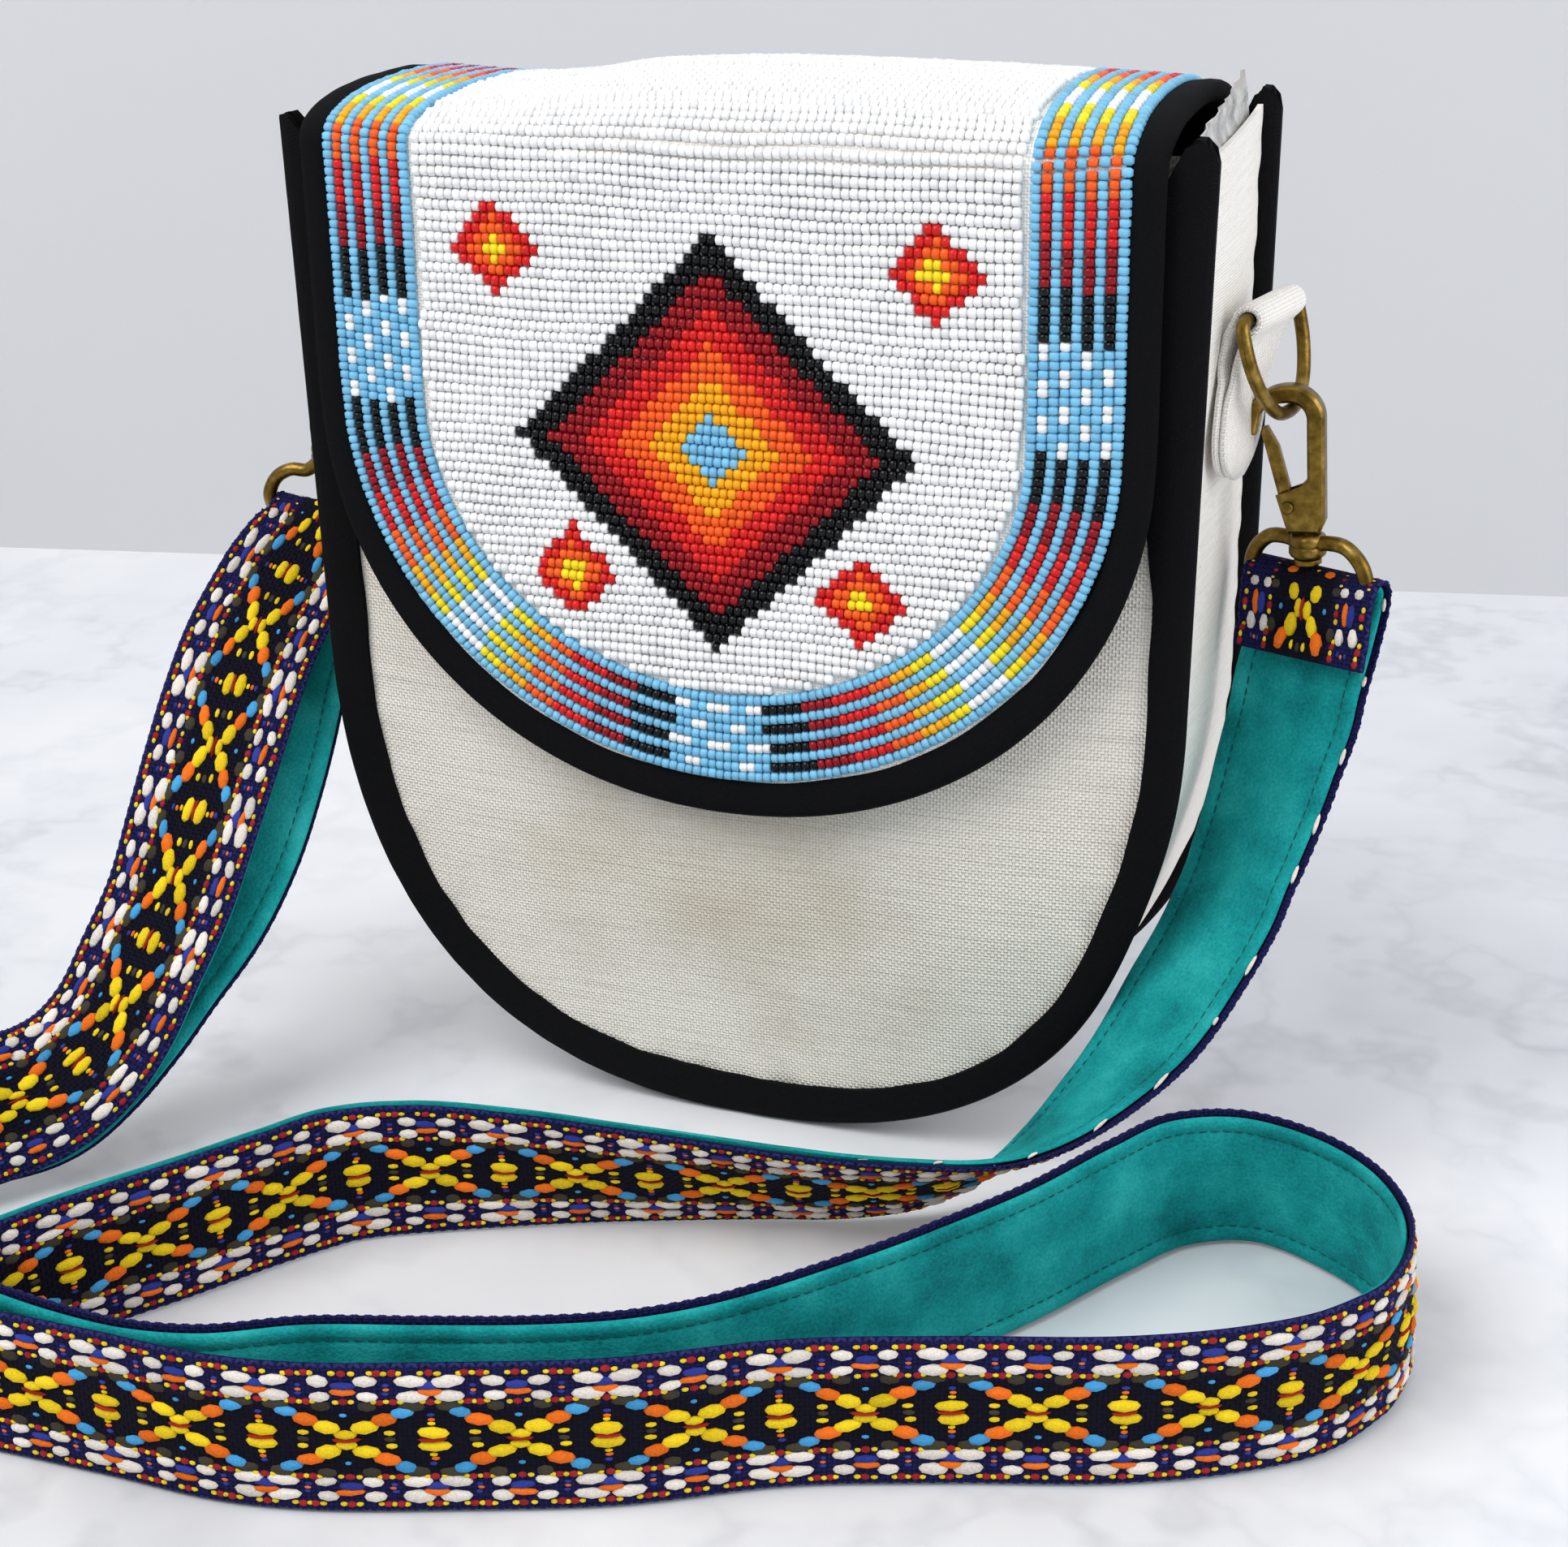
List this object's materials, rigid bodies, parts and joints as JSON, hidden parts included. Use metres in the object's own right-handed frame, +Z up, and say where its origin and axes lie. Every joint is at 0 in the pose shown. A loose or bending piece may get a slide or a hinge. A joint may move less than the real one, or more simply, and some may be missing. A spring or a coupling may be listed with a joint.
{
  "type": "flap shoulder bag",
  "caption": "Canvas flap shoulder bag with a round bottom, bound edges, a beaded flap and a long woven strap on swivel hooks, standing with the strap laid in front of it.",
  "frame": {"origin": "on the standing surface, in the middle of the bag's foot", "axes": "+X to the right of the front, +Y to the back, +Z up"},
  "size_m": [0.4034, 0.2746, 0.2759],
  "materials": {
    "canvas": "matt natural plain-weave canvas",
    "white_canvas": "matt off-white plain-weave canvas",
    "black_tape": "matt black cotton binding",
    "clear_film": "thin cloudy film",
    "bead_blue": "opaque glossy glass seed beads",
    "bead_white": "opaque glossy glass seed beads",
    "bead_black": "opaque glossy glass seed beads",
    "bead_dark_red": "opaque glossy glass seed beads",
    "bead_red": "opaque glossy glass seed beads",
    "bead_orange": "opaque glossy glass seed beads",
    "bead_yellow": "opaque glossy glass seed beads",
    "antique_brass": "brushed antique brass",
    "spring_steel": "bright spring wire",
    "woven_band": "patterned jacquard weave on a navy ground",
    "teal_lining": "soft teal nap"
  },
  "bodies": {
    "bag": {"front_panel": "canvas", "back_panel": "canvas", "gusset": "white_canvas", "tab_right": "white_canvas", "tab_left": "white_canvas", "front_binding": "black_tape", "back_binding": "black_tape", "flap": "black_tape", "flap_binding": "black_tape", "film_tab": "clear_film", "bead_border": "bead_blue", "bead_diamond_6": "bead_blue", "bead_ground": "bead_white", "bead_diamond_1": "bead_black", "bead_diamond_2": "bead_dark_red", "bead_diamond_3": "bead_red", "bead_corner_1": "bead_red", "bead_corner_3": "bead_red", "bead_diamond_4": "bead_orange", "bead_corner_2": "bead_orange", "bead_corner_4": "bead_orange", "bead_diamond_5": "bead_yellow", "d_ring_right": "antique_brass", "swivel_loop_right": "antique_brass", "d_ring_left": "antique_brass", "swivel_loop_left": "antique_brass", "slider": "antique_brass", "strap_band": "woven_band", "strap_lining": "teal_lining"},
    "hook_right": {"hook_right": "antique_brass", "gate_rivet_right": "antique_brass", "gate_spring_right": "spring_steel"},
    "hook_left": {"hook_left": "antique_brass", "gate_rivet_left": "antique_brass", "gate_spring_left": "spring_steel"},
    "gate_right": {"gate_right": "antique_brass"},
    "gate_left": {"gate_left": "antique_brass"}
  },
  "joints": [
    {"name": "swivel_right", "type": "hinge", "parent": "bag", "child": "hook_right", "pos_m": [0.1355, 0.003, 0.167], "axis": [-0.0698, 0, 0.9976], "range_deg": [-12, 12]},
    {"name": "gate_right", "type": "hinge", "parent": "hook_right", "child": "gate_right", "pos_m": [0.13056, 0.003, 0.17317], "axis": [0, 1, 0], "range_deg": [0, 24], "stiffness_Nm_per_rad": 0.02, "springref_deg": -20.05},
    {"name": "swivel_left", "type": "hinge", "parent": "bag", "child": "hook_left", "pos_m": [-0.1355, 0.003, 0.167], "axis": [0.0698, 0, 0.9976], "range_deg": [-12, 12]},
    {"name": "gate_left", "type": "hinge", "parent": "hook_left", "child": "gate_left", "pos_m": [-0.13056, 0.003, 0.17317], "axis": [0, -1, 0], "range_deg": [0, 24], "stiffness_Nm_per_rad": 0.02, "springref_deg": -20.05}
  ]
}
